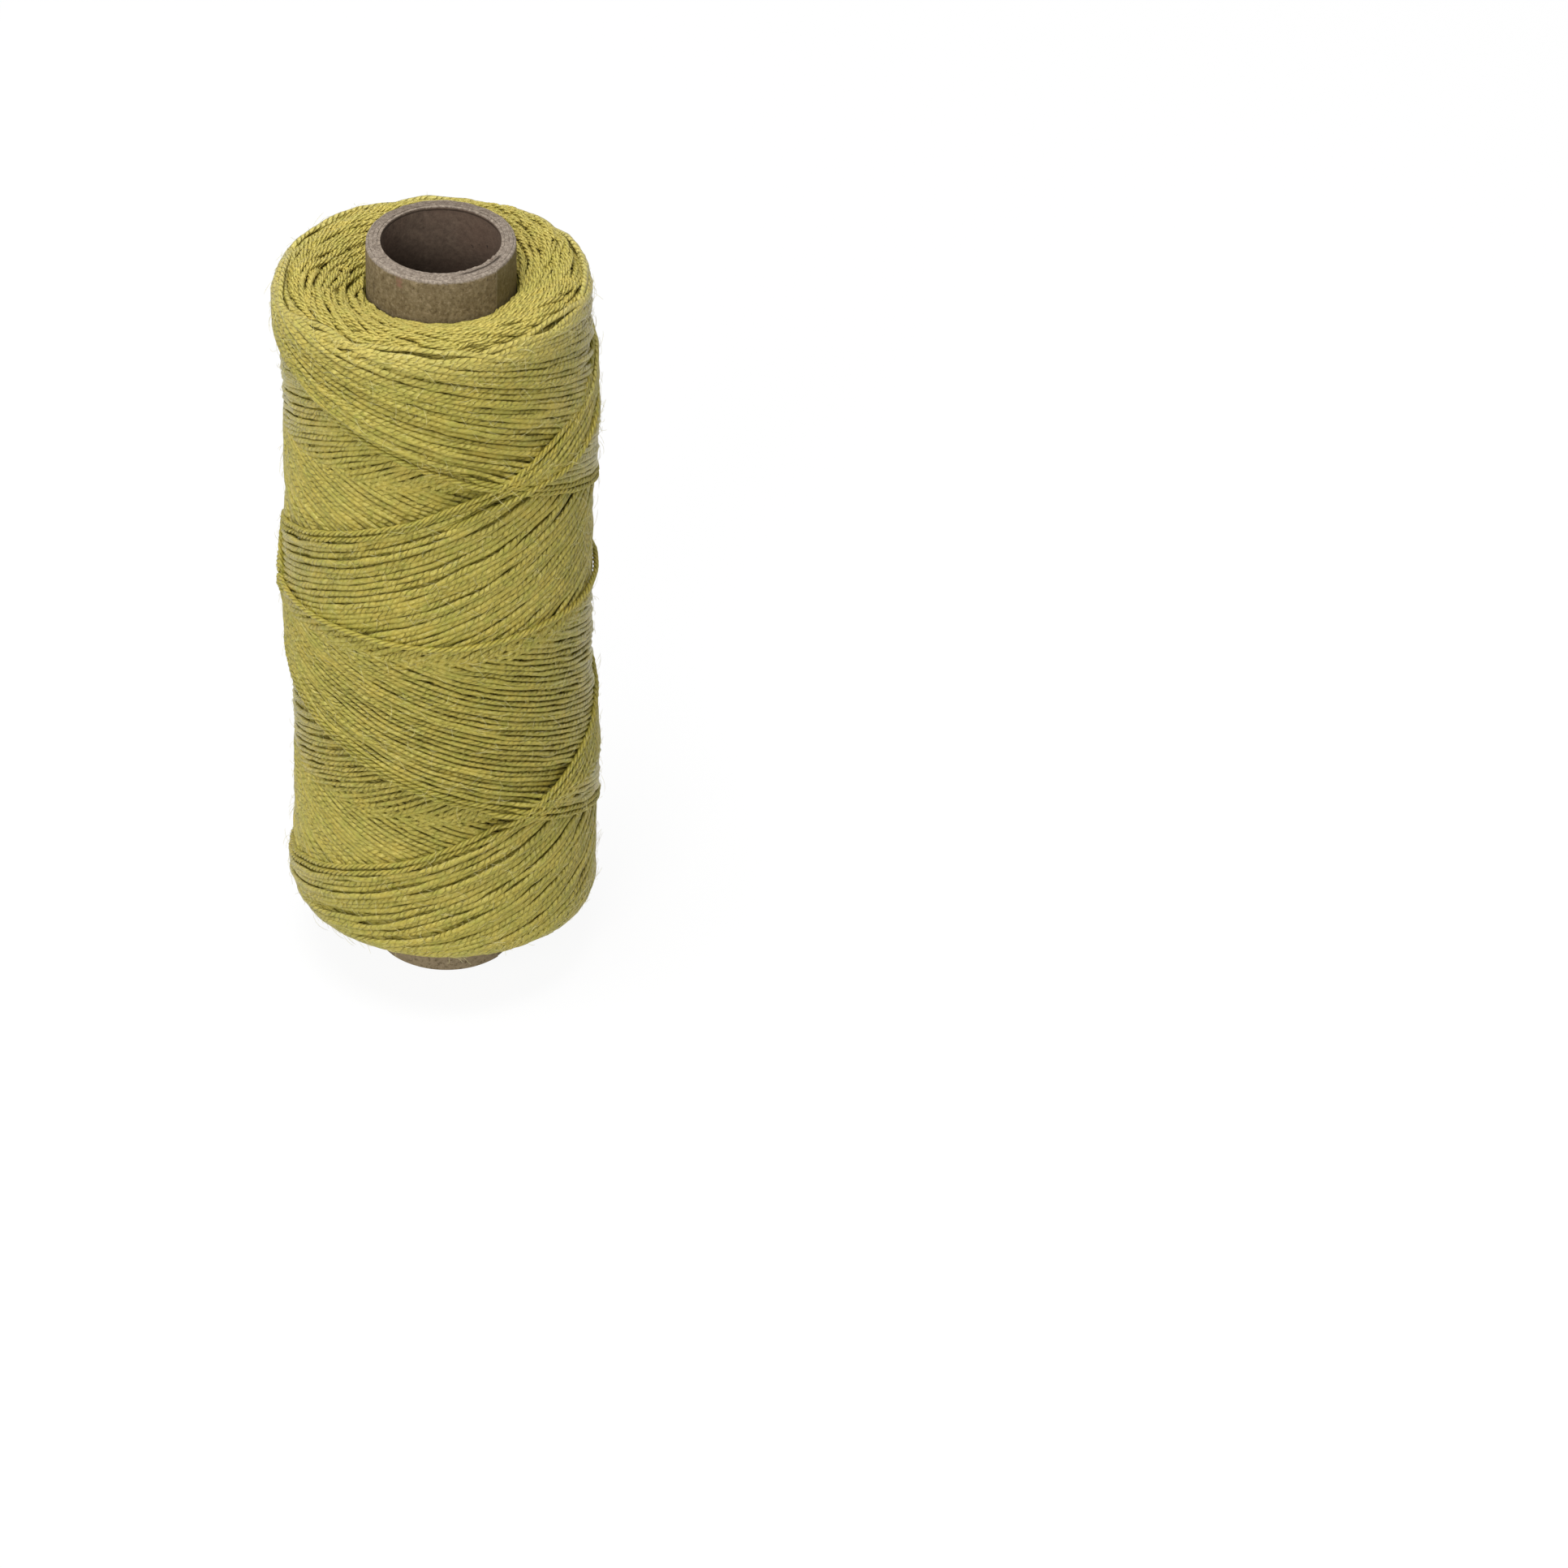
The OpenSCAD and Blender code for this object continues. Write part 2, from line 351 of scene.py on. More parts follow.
# Painted light: the wrap is lighter towards its foot.
tone = kraft.mix(height.between(0.009, 0.002) * 0.5, tone, (0.320, 0.250, 0.160))
tone = kraft.mix(pulp.between(0.50, 0.68) * 0.8, tone, (0.32, 0.252, 0.150))
tone = kraft.mix(pulp.between(0.49, 0.34) * 0.8, tone, (0.075, 0.052, 0.022))
flecks = (1 - specks.between(0.06, 0.20)) * blotch.between(0.44, 0.56)
tone = kraft.mix(flecks * 0.6, tone, (0.060, 0.042, 0.024))
rub = bearing.between(-2.215, -2.19) * bearing.between(-2.09, -2.13) * height.between(0.0889, 0.0893)
tone = kraft.mix(rub * pulp.between(0.35, 0.6) * 0.7, tone, (0.21, 0.085, 0.06))
nick = bearing.between(-2.672, -2.664) * bearing.between(-2.646, -2.656)
nick = nick * height.between(0.0864, 0.0868) * height.between(0.0884, 0.0878)
tone = kraft.mix(nick * 0.85, tone, (0.030, 0.022, 0.012))
# Painted shade and painted green reflection: the wrap is darker and greener for a way past its lap edge.
painted_green_shade = bearing.between(wrap_lap - 0.012, wrap_lap + 0.006)
painted_green_shade = painted_green_shade * bearing.between(wrap_lap + 1.3, wrap_lap + 0.5)
tone = kraft.mix(painted_green_shade * 0.5, tone, (0.090, 0.072, 0.012))
# Painted highlight: a thin light line along the wrap's lap edge.
lap_edge_highlight = bearing.between(wrap_lap - 0.035, wrap_lap - 0.02)
lap_edge_highlight = lap_edge_highlight * bearing.between(wrap_lap, wrap_lap - 0.012)
tone = kraft.mix(lap_edge_highlight * 0.45, tone, (0.33, 0.28, 0.17))
cut = kraft.noise(where, 0.0003, 4, 0.75)
cut_tone = kraft.mix(cut.between(0.36, 0.64), board_dark, (0.310, 0.260, 0.205))
above_cut = height - north * cut_slope + cut * 0.0005
kraft.colour(kraft.mix(above_cut.between(0.09068, 0.09095), tone, cut_tone))
kraft.bump(pulp, 0.00011, 1.0, kraft.bump(upright, 0.0001, 0.6))
finish_piece(wrap, "wrap", kraft, "tube_wrap", "tube_wrap")


# Winding: one length of three-ply waxed linen, cross-wound from end to end of the tube. Each double
# stroke goes round four times less a small shift, so the threads lie side by side, and a later stroke
# lies over an earlier one. The section winds the thread on a map of heights round the package.

# Half the thread's width and height, the length of one twist, and half the height of a bedded thread.
thread_wide, thread_high, lay, bed_high = 0.322, 0.285, 2.4, 0.22
straight_low, straight_high = 10.4, 84.3
base_shoulder, top_shoulder = 2.5, 3.2
base_dish, top_dish = 2.0, 2.1
tube_radius, package_radius = 8.02, 17
corner_points, side_points = 60, 400
bulge_heights = [10.4, 17, 24, 32, 40, 48, 56, 68, 78, 84.3]
bulge_radii = [17.05, 16.94, 16.71, 16.62, 16.67, 16.73, 16.65, 16.68, 16.72, 16.80]


def smoothed(values, reach):
    """Values along a line, smoothed with a bell of that reach in samples."""
    k = np.arange(-int(3 * reach) - 1, int(3 * reach) + 2)
    bell = np.exp(-0.5 * (k / reach) ** 2)
    return np.convolve(np.pad(values, len(k) // 2, mode="edge"), bell / bell.sum(), mode="valid")


def package_profile():
    """Points of the package's outline, from the tube at the base up its side and back in to the tube."""
    z = np.linspace(straight_low, straight_high, side_points)
    side = smoothed(np.interp(z, bulge_heights, bulge_radii), 18)
    low_r, high_r = side[0] - base_shoulder, side[-1] - top_shoulder
    bend = np.linspace(0, math.pi / 2, corner_points)
    face = np.linspace(0, 1, corner_points)
    r = [tube_radius + (low_r - tube_radius) * face, low_r + base_shoulder * np.sin(bend), side,
         high_r + top_shoulder * np.cos(bend), high_r + (tube_radius - high_r) * face]
    base_crest, top_crest = straight_low - base_shoulder, straight_high + top_shoulder
    z = [base_crest + base_dish * (1 - face) ** 1.3, straight_low - base_shoulder * np.cos(bend), z,
         straight_high + top_shoulder * np.sin(bend), top_crest - top_dish * face**1.3]
    r, z = np.concatenate(r), np.concatenate(z)
    keep = np.r_[True, np.hypot(np.diff(r), np.diff(z)) > 1e-4]
    return r[keep], z[keep]


# The map has a cell for each small part of a turn and of s, the length along the outline, which is set
# to be equal to the height where the straight side starts.
line_r, line_z = package_profile()
along = np.r_[0, np.cumsum(np.hypot(np.diff(line_r), np.diff(line_z)))]
rising = slice(corner_points, side_points)
along += straight_low - np.interp(straight_low, line_z[rising], along[rising])
s_low, s_high, cell = along[0], along[-1], 0.07
s_cells = int((s_high - s_low) / cell) + 1
s_grid = s_low + cell * np.arange(s_cells)
grid_r = smoothed(np.interp(s_grid, along, line_r), 6)
grid_z = smoothed(np.interp(s_grid, along, line_z), 6)
out_r, out_z = np.gradient(grid_z), -np.gradient(grid_r)
size = np.hypot(out_r, out_z)
out_r, out_z = out_r / size, out_z / size
turn_cells = 1536
heights = np.zeros(turn_cells * s_cells, np.float32)

# A thread is laid in steps along its path, and raises the map by the hump of its cross-section.
step = 0.06
offsets = np.arange(-5, 6) * 0.068
hump = bed_high * np.sqrt(np.clip(1 - (offsets / thread_wide) ** 2, 0, 1))


def cells_of(turn, s, across_t, across_s, shift):
    """Cells of the map under points that lie a shift to the side of a path."""
    r = np.interp(s, s_grid, grid_r)
    t = turn[:, None] + (across_t / (2 * math.pi * r))[:, None] * shift
    beside = s[:, None] + across_s[:, None] * shift
    j = np.clip(((beside - s_low) / cell + 0.5).astype(np.int64), 0, s_cells - 1)
    i = ((t % 1.0) * turn_cells).astype(np.int64) % turn_cells
    return i * s_cells + j


def even_path(turn, s):
    """A path resampled at equal steps of length, with its sideways direction."""
    r = np.interp(s, s_grid, grid_r)
    length = np.r_[0, np.cumsum(np.hypot(np.diff(turn) * math.pi * (r[1:] + r[:-1]), np.diff(s)))]
    even = np.linspace(0, length[-1], max(int(length[-1] / step), 8))
    turn, s = np.interp(even, length, turn), np.interp(even, length, s)
    r = np.interp(s, s_grid, grid_r)
    ds, dt = np.gradient(s), np.gradient(turn) * 2 * math.pi * r
    size = np.hypot(ds, dt)
    return turn, s, -ds / size, dt / size


def tight(height, bend=0.09, reach=2.4):
    """Height of a taut thread over what it rests on: it springs over hollows."""
    pulled = height.copy()
    for k in range(1, int(reach / step), 2):
        sag = 0.5 * bend * (k * step) ** 2
        pulled[k:] = np.maximum(pulled[k:], height[:-k] - sag)
        pulled[:-k] = np.maximum(pulled[:-k], height[k:] - sag)
    return pulled


mean_top = np.zeros(s_cells)


def renew_mean():
    """Takes the mean height of the map all round, for each length along the outline."""
    global mean_top
    mean_top = smoothed(heights.reshape(turn_cells, s_cells).mean(0), 9)


crossing_rows, row_reach, row_press = (26.5, 48.5, 70.0), 3.0, 0.48
packed_press, free_press = 0.36, 0.46
slip_step, slip_cost, held_ends = 0.06, 3.5, 6.0


def lay_thread(turn, s, slip=True, press=packed_press):
    """Lays thread on the map, lets it slip to where it beds in, and gives its path and height.

    It stays within about the press of the mean height, and rises more at the rows of crossings.
    """
    turn, s, across_t, across_s = even_path(turn, s)
    ends = ramp(np.arange(len(s)) * step, held_ends)
    ends = np.minimum(ends, ends[::-1])
    if slip:
        shifts = np.arange(-3, 4) * slip_step
        costs = []
        for d in shifts:
            rest = (heights[cells_of(turn, s, across_t, across_s, offsets + d)] + hump).max(1)
            costs.append(smoothed(rest, 10) + slip_cost * d * d)
        slide = smoothed(shifts[np.argmin(costs, 0)], 18) * ends
        turn = turn + slide * across_t / (2 * math.pi * np.interp(s, s_grid, grid_r))
        s = s + slide * across_s
        turn, s, across_t, across_s = even_path(turn, s)
    under = cells_of(turn, s, across_t, across_s, offsets)
    rest = tight(smoothed((heights[under] + hump).max(1), 5))
    level = np.interp(s, s_grid, mean_top) + 0.06
    crossing = sum(np.exp(-(((s - row) / row_reach) ** 2)) for row in crossing_rows)
    press = press + row_press * crossing
    rest = level + press * np.tanh((rest - level) / press)
    rest = smoothed(rest, 8)
    np.maximum.at(heights, under.ravel(), (rest[:, None] + hump).ravel().astype(np.float32))
    return turn, s, rest


shift_turns = 0.016
fold_high, cross_high, cross_low, fold_low = 86.4, 70.0, 26.8, 8.8
lead_up, lead_down, lead_low, low_climb = 44.5, 42.0, 44.0, 14.8
first_turn, double_strokes, free_doubles = -70 / 360, 84, 2
wind_rng = np.random.default_rng(11)


def stroke_table():
    """Turns and heights of one double stroke, from the lower fold up and back down.

    Turn 0 is where it goes up past cross_high.
    """
    low_turns = 0.5 - shift_turns / 2 - low_climb / lead_low
    bottom = np.linspace(0, low_turns, 60)
    top = np.linspace(0, 0.5, 160)
    up_t = -(cross_high - cross_low) / lead_up
    down_t = 1 + (cross_high - cross_low) / lead_down
    fold = (cross_low - low_climb - fold_low) * (bottom / low_turns) ** 1.6
    crown = fold_high - (fold_high - cross_high) * (top / 0.5) ** 1.35
    turns = [up_t - low_climb / lead_low - low_turns + bottom, [up_t],
             0.5 - top[::-1], 0.5 + top[1:],
             [down_t], down_t + low_climb / lead_low + (low_turns - bottom[::-1])]
    levels = [fold_low + fold, [cross_low], crown[::-1], crown[1:], [cross_low], fold_low + fold[::-1]]
    return np.concatenate(turns), np.concatenate(levels)


table_t, table_s = stroke_table()
fine_t = np.linspace(table_t[0], table_t[-1], 6000)
fine_s = smoothed(np.interp(fine_t, table_t, table_s), 14)


def wander(length, rng):
    """Small sideways drift of a thread as it is laid, in millimetres."""
    drift = 0.065
    x = np.linspace(0, 1, length)
    total = np.zeros(length)
    for cycles, share in ((5, 1), (9, 1), (16, 1), (27, 1), (38, 0.8), (50, 0.8), (75, 0.6), (110, 0.45)):
        swing = share * rng.normal()
        total += swing * np.cos(2 * math.pi * rng.uniform(0.7, 1.3) * cycles * x + rng.uniform(0, 7))
    return drift * total / 1.7


face_arcs, tube_gap, golden_turn = 520, 0.36, 0.38197


def lay_arcs(s_tube, s_shoulder, seed):
    """Lays the folds of one end face, from the tube out, and gives the path, height and place of each."""
    rng = np.random.default_rng(seed)
    reach = abs(s_shoulder - s_tube)
    inward = np.sign(s_tube - s_shoulder)
    limits = sorted((s_tube - inward * tube_gap, s_shoulder - inward * 2))
    arcs = []
    for m in range(face_arcs):
        out = (m + rng.uniform(-4, 4)) / face_arcs
        out = min(max(out, 0.0), 1.0) ** 0.95
        middle = s_tube - inward * (tube_gap + out * (reach - tube_gap)) + rng.normal() * 0.08
        r = np.interp(middle, s_grid, grid_r)
        lean = math.radians(22 - 16 * out + rng.normal() * 7) * min(1.0, 0.35 + out * 9)
        half = rng.uniform(2.4, 4.4) + 4.0 * out**1.5
        x = np.linspace(-1, 1, 90)
        turn = m * golden_turn + half * x / (2 * math.pi * r)
        s = np.clip(middle - inward * math.tan(lean) * half * x, *limits)
        turn, s, across_t, across_s = even_path(turn, s)
        x = np.linspace(-1, 1, len(s))
        under = cells_of(turn, s, across_t, across_s, offsets)
        rest = tight(smoothed((heights[under] + hump).max(1), 5), 0.2, 1.5)
        level = np.interp(s, s_grid, mean_top) + 0.02
        rest = smoothed(level + 0.26 * np.tanh((rest - level) / 0.26), 8) + 0.05 * rng.normal()
        rest = rest - (0.30 + 0.2 * rng.uniform()) * np.abs(x) ** 3
        np.maximum.at(heights, under.ravel(), (rest[:, None] + hump).ravel().astype(np.float32))
        arcs.append((turn, s, rest, out))
        if m % 20 == 19:
            renew_mean()
    return arcs


def bare_height(s):
    """Height of the inner windings under the threads that are modelled."""
    on_side = np.minimum(ramp(s - 8.0, 1.5), ramp(87.0 - s, 1.5))
    return -0.28 * (1 - on_side)


heights.reshape(turn_cells, s_cells)[:] = bare_height(s_grid)
renew_mean()
upper_arcs = lay_arcs(s_high, s_shoulder=85.3, seed=21)
lower_arcs = lay_arcs(s_low, s_shoulder=9.6, seed=22)
renew_mean()

# Each strand is one stroke, up or down: its turns, its lengths along the outline and its heights.
strands = []
fold_at = int(np.argmax(fine_s))
for n in range(double_strokes - 1, -1, -1):
    bunch = 0.0030 * math.sin(n * 0.61) + 0.0022 * math.sin(n * 0.37 + 2.0)
    start = first_turn + n * shift_turns + bunch + wind_rng.normal() * 0.0016
    raise_top, raise_base = wind_rng.normal(0, 0.45, 2)
    s = fine_s + raise_top * ramp(fine_s - 72, 14) ** 2
    s = s - raise_base * ramp(20 - fine_s, 13) ** 2
    s = s + wander(len(s), wind_rng)
    press = free_press if n < free_doubles else packed_press
    for part in (slice(0, fold_at + 1), slice(fold_at, len(s))):
        strands.append(lay_thread(start + fine_t[part], s[part], press=press))
    if n % 6 == 0:
        renew_mean()
renew_mean()
print("wound", len(strands), "strokes; growth", round(float(mean_top[s_cells // 2]), 2), "mm")

# The mean height of all that is wound. It is taken off again, so that the package has its outline.
growth = smoothed(mean_top, 12)
foot_lean, lean_loss, end_tilt, front_rise, base_drop = 0.10, 0.785, 0.028, 0.45, 0.10


def on_package(turn, s, height):
    """Places and outward directions, in metres, of points at a height over the package's mean surface.

    The package leans a little to the left as it goes up, and its base lies higher in front.
    """
    angle = turn * 2 * math.pi
    h = height - np.interp(s, s_grid, growth)
    nr, nz = np.interp(s, s_grid, out_r), np.interp(s, s_grid, out_z)
    r = np.interp(s, s_grid, grid_r) + nr * h
    z = np.interp(s, s_grid, grid_z) + nz * h
    east, front = r * np.cos(angle), np.clip(-np.sin(angle), 0, 1)
    low, high = ramp(40 - z, 35), ramp(z - 55, 30)
    lean = ramp(r - 8.2, 5.5) * (foot_lean - lean_loss * z / tube_height)
    z = z + end_tilt * east * (high - low) + low * (front_rise * front**2 - base_drop)
    places = np.stack([r * np.cos(angle) + lean, r * np.sin(angle), z], 1) * MM
    return places, np.stack([nr * np.cos(angle), nr * np.sin(angle), nz], 1)


# End faces: the folds of the same waxed linen, where it turned back on each earlier layer. Each shows as
# a short arc that comes up between its neighbours and dives again, held down by the thread over it.


def slubs(travel):
    """Unevenness of the spun thread's thickness along its length in millimetres."""
    rng = np.random.default_rng(3)
    waves = rng.uniform(1.5, 11, 11)
    return 1 + 0.038 * sum(np.cos(2 * math.pi * travel / wave + rng.uniform(0, 7)) for wave in waves)


class Yarn:
    """Gathers stretches of thread as rings of corners, and makes them one mesh."""

    slub_shift = 31.7

    def __init__(self, sides=6):
        self.sides, self.points, self.faces, self.uvs, self.count = sides, [], [], [], 0

    def add(self, places, lifts, start=0.0, wide=thread_wide, high=thread_high, taper=False):
        """Adds a stretch of thread, closed at both ends, and gives its length in millimetres."""
        k = self.sides
        forward = np.gradient(places, axis=0)
        travel = np.r_[0, np.cumsum(np.linalg.norm(np.diff(places, axis=0), axis=1))] / MM
        forward /= np.linalg.norm(forward, axis=1)[:, None]
        side = np.cross(forward, lifts)
        side /= np.linalg.norm(side, axis=1)[:, None]
        lift = np.cross(side, forward)
        corner = 2 * math.pi * np.arange(k) / k - math.pi / 2
        swell = slubs(start + travel)
        if taper:
            swell[0] = swell[-1] = 0.35
        wide = np.broadcast_to(wide, len(places))
        ring = side[:, None, :] * (wide[:, None] * np.cos(corner))[:, :, None]
        ring = ring + lift[:, None, :] * (high * np.sin(corner))[None, :, None]
        rings = places[:, None, :] + ring * swell[:, None, None] * MM
        n = len(places)
        self.points.append(rings.reshape(-1, 3))
        first = (np.arange(n - 1) * k)[:, None] + self.count
        i, j = first + np.arange(k), first + (np.arange(k) + 1) % k
        self.faces.append(np.stack([i, j, j + k, i + k], 2).reshape(-1, 4))
        u = (start + travel) / lay
        v = np.arange(k + 1) / k
        uv = np.empty((n - 1, k, 4, 2))
        uv[..., 0, 0] = uv[..., 1, 0] = u[:-1, None]
        uv[..., 2, 0] = uv[..., 3, 0] = u[1:, None]
        uv[..., 0, 1] = uv[..., 3, 1] = v[None, :-1]
        uv[..., 1, 1] = uv[..., 2, 1] = v[None, 1:]
        self.uvs.append(uv.reshape(-1, 2))
        caps = [self.count + np.arange(k)[::-1], self.count + (n - 1) * k + np.arange(k)]
        for cap in caps:
            for m in range(1, k - 1, 2):
                self.faces.append(np.array([[cap[0], cap[m], cap[m + 1], cap[min(m + 2, k - 1)]]]))
                self.uvs.append(np.zeros((4, 2)) + [start / lay, 0.5])
        self.count += n * k
        return travel[-1]

    def add_plies(self, places, lifts, offset, ply, start=0.0):
        """Adds a stretch of thread as its three twisted plies, each with slubs of its own."""
        forward = np.gradient(places, axis=0)
        travel = np.r_[0, np.cumsum(np.linalg.norm(forward[1:] + forward[:-1], axis=1) / 2)] / MM
        side = np.cross(forward / np.linalg.norm(forward, axis=1)[:, None], lifts)
        for k in range(3):
            turn = -2 * math.pi * ((start + travel) / lay + k / 3)
            shift = np.cos(turn)[:, None] * lifts + np.sin(turn)[:, None] * side
            begin = start + k * self.slub_shift
            self.add(places + shift * offset * MM, shift, start=begin, wide=ply, high=ply, taper=True)

    def mesh(self, name):
        """Makes one piece of all stretches, with turns of twist and the share of the way round as its UVs."""
        points, faces, uvs = np.concatenate(self.points), np.concatenate(self.faces), np.concatenate(self.uvs)
        made = bpy.data.meshes.new(name)
        made.vertices.add(len(points))
        made.vertices.foreach_set("co", points.ravel())
        made.loops.add(faces.size)
        made.loops.foreach_set("vertex_index", faces.ravel().astype(np.int32))
        made.polygons.add(len(faces))
        made.polygons.foreach_set("loop_start", np.arange(0, faces.size, 4, dtype=np.int32))
        made.update(calc_edges=True)
        made.uv_layers.new(name="along_thread").data.foreach_set("uv", uvs.ravel())
        made.polygons.foreach_set("use_smooth", np.ones(len(faces), bool))
        made.validate()
        piece = bpy.data.objects.new(name, made)
        bpy.context.scene.collection.objects.link(piece)
        return piece


def waxed_linen(name, dark=0.93, twist=1.0):
    """Three plies twisted together, dyed moss green and waxed: fine fibres, with painted shade between the
    plies and on the flanks, and painted highlights on the ply crests and towards the top.
    """
    linen = Finish(name, roughness=0.32, specular=0.5)
    linen.shader.inputs["Specular Tint"].default_value = (1.0, 0.94, 0.62, 1)
    uv = linen.node("ShaderNodeUVMap", {"uv_map": "along_thread"})
    u, v = linen.axis(uv, "X"), linen.axis(uv, "Y")

    def dyed(*colour):
        """A colour at this thread's darkness."""
        return tuple(dark * part for part in colour)

    def streaks(x, y, size, detail=3.0, rough=0.6):
        """Noise over the thread's surface, laid out flat."""
        flat = linen.node("ShaderNodeCombineXYZ", None, {0: x, 1: y, 2: 0.0})
        values = {"Vector": flat, "Scale": size, "Detail": detail, "Roughness": rough}
        return linen.node("ShaderNodeTexNoise", None, values)

    uneven = streaks(u * 0.9, v * 0.8, 2.0)
    patchy = streaks(u * 0.33, v * 0.2, 1.3, 2.0)
    turned = v - u + uneven * 0.55 + patchy * 0.8
    ply = (turned * 3.0).math("FRACT") * 2.0 - 1.0
    ply = 1 - ply * ply
    fibre = streaks(turned * 7.0, u * 1.1, 2.6, 4.0, 0.7)
    slub = streaks(u * 0.16, v * 0.25, 2.0, 4.0, 0.65)
    bundle = streaks(v * 5.0, u * 0.45, 1.6, 3.0, 0.55)
    cloud = linen.noise(linen.place(), 0.007, 3)
    tone = linen.mix(fibre.between(0.30, 0.70), dyed(0.245, 0.204, 0.023), dyed(0.503, 0.425, 0.088))
    tone = linen.mix(bundle.between(0.5, 0.75) * 0.5, tone, dyed(0.568, 0.488, 0.115))
    tone = linen.mix(slub.between(0.35, 0.70) * 0.5, tone, dyed(0.404, 0.324, 0.042))
    grain = linen.noise(linen.place(), 0.00042, 2, 0.6)
    tint = linen.noise(linen.place(), 0.0016, 3, 0.6)
    tone = linen.mix(grain.between(0.52, 0.72) * 0.6, tone, dyed(0.640, 0.555, 0.154))
    tone = linen.mix(grain.between(0.48, 0.28) * 0.5, tone, dyed(0.170, 0.145, 0.016))
    tone = linen.mix(tint.between(0.45, 0.70) * 0.45, tone, dyed(0.500, 0.375, 0.059))
    tone = linen.mix(tint.between(0.50, 0.30) * 0.45, tone, dyed(0.300, 0.310, 0.042))
    tone = linen.mix(cloud.between(0.38, 0.68) * 0.35, tone, dyed(0.310, 0.294, 0.042))
    height = linen.axis(linen.place(), "Z")
    loose = height.between(0.077, 0.084)
    shown = patchy.between(0.40 - 0.2 * loose, 0.60 - 0.2 * loose) * (0.4 + 0.7 * uneven) * twist
    # Painted light: the thread is lighter towards the top of the winding.
    tone = linen.mix(height.between(0.082, 0.087) * 0.24, tone, dyed(0.680, 0.560, 0.191))
    groove = 1 - ply.between(0.0, 0.6)
    flank = (v - 0.5).math("ABSOLUTE").between(0.10, 0.26)
    # Painted highlight: lighter beads on the ply crests along the thread's flanks.
    tone = linen.mix(ply.between(0.5, 0.9) * flank * (0.55 * twist), tone, dyed(0.700, 0.620, 0.216))
    # Painted shade: darker in the grooves between the plies and on the flanks, where neighbouring threads and
    # plies meet.
    painted_groove_shade = groove * (0.14 * twist + 0.62 * shown + flank * (0.36 * twist)) + flank * (0.62 - 0.62 * twist)
    linen.colour(linen.mix(painted_groove_shade, tone, dyed(0.163, 0.131, 0.013)))
    linen.join(linen.shader.inputs["Roughness"], 0.18 + 0.24 * fibre)
    plies = linen.bump(ply**0.5 * (0.25 * twist + 0.75 * shown), 0.00015, 0.9)
    linen.bump(fibre + 0.6 * bundle, 0.00008, 0.9, plies)
    return linen


linen = waxed_linen("waxed_linen")
# Painted light: the free plies get a slightly lighter copy of the thread's colours, and the folds of the
# upper face a much lighter one.
loose_linen = waxed_linen("waxed_linen_ply", dark=0.96, twist=0.0)
face_linen_lit = waxed_linen("waxed_linen_face_lit", dark=1.08, twist=0.0)


def thinned(every, *paths):
    """Each path with only every so many of its points."""
    return (path[::every] for path in paths)


upper_yarns = [Yarn(5) for _ in range(3)]
lower_yarn = Yarn()
arc_rng = np.random.default_rng(5)
for turn, s, rest, out in upper_arcs:
    places, lifts = on_package(*thinned(6, turn, s, rest))
    yarn = upper_yarns[min(int(3 * out**1.3), 2)]
    yarn.add_plies(places, lifts, offset=0.15, ply=0.175, start=arc_rng.uniform(0, 400))
for turn, s, rest, _ in lower_arcs:
    places, lifts = on_package(*thinned(10, turn, s, rest))
    lower_yarn.add(places, lifts, start=arc_rng.uniform(0, 400), wide=0.285, high=0.27, taper=True)
for number, yarn in enumerate(upper_yarns, 1):
    finish_piece(yarn.mesh("folds"), f"upper_face_folds_{number}", face_linen_lit, "thread")
finish_piece(lower_yarn.mesh("folds"), "lower_face_folds", linen, "thread")


# Outer layers: the wound strokes of the same thread, in four pieces from the first laid to the last.
# Each stroke lies over the ones before and is held by its own tension.

strokes_per_piece, free_strokes = 41, 2 * free_doubles
width_heights = [12, 22, 27, 44, 50, 62, 70, 80]
width_shares = [1.12, 1.10, 0.80, 0.80, 1.06, 1.09, 0.97, 1.0]


def width_at(s):
    """Half the thread's width: it is pulled tighter and rounder where the layers stand apart."""
    return thread_wide * np.interp(s, width_heights, width_shares)


packed_strokes = strands[:-free_strokes]
groups = [packed_strokes[i : i + strokes_per_piece] for i in range(0, len(packed_strokes), strokes_per_piece)]
travel = 0.0
for number, group in enumerate(groups, 1):
    turn, s, rest = (np.concatenate([stroke[k][:-1] for stroke in group]) for k in range(3))
    turn, s, rest = thinned(11, turn, s, smoothed(rest, 6))
    places, lifts = on_package(turn, s, rest)
    yarn = Yarn()
    travel += yarn.add(places, lifts, start=travel, wide=width_at(s), taper=True)
    stands_for = ["thread_outer_layer"] if number == len(groups) else []
    finish_piece(yarn.mesh("layer"), f"winding_layer_{number}", linen, "thread", *stands_for)
print("thread in the packed strokes:", round(travel / 1000, 1), "m")


# Last strokes: the last two double strokes lie free on top of the rest, so their three plies show. A slack
# bit of the last one has slipped out of its row and goes nearly level round the right side.

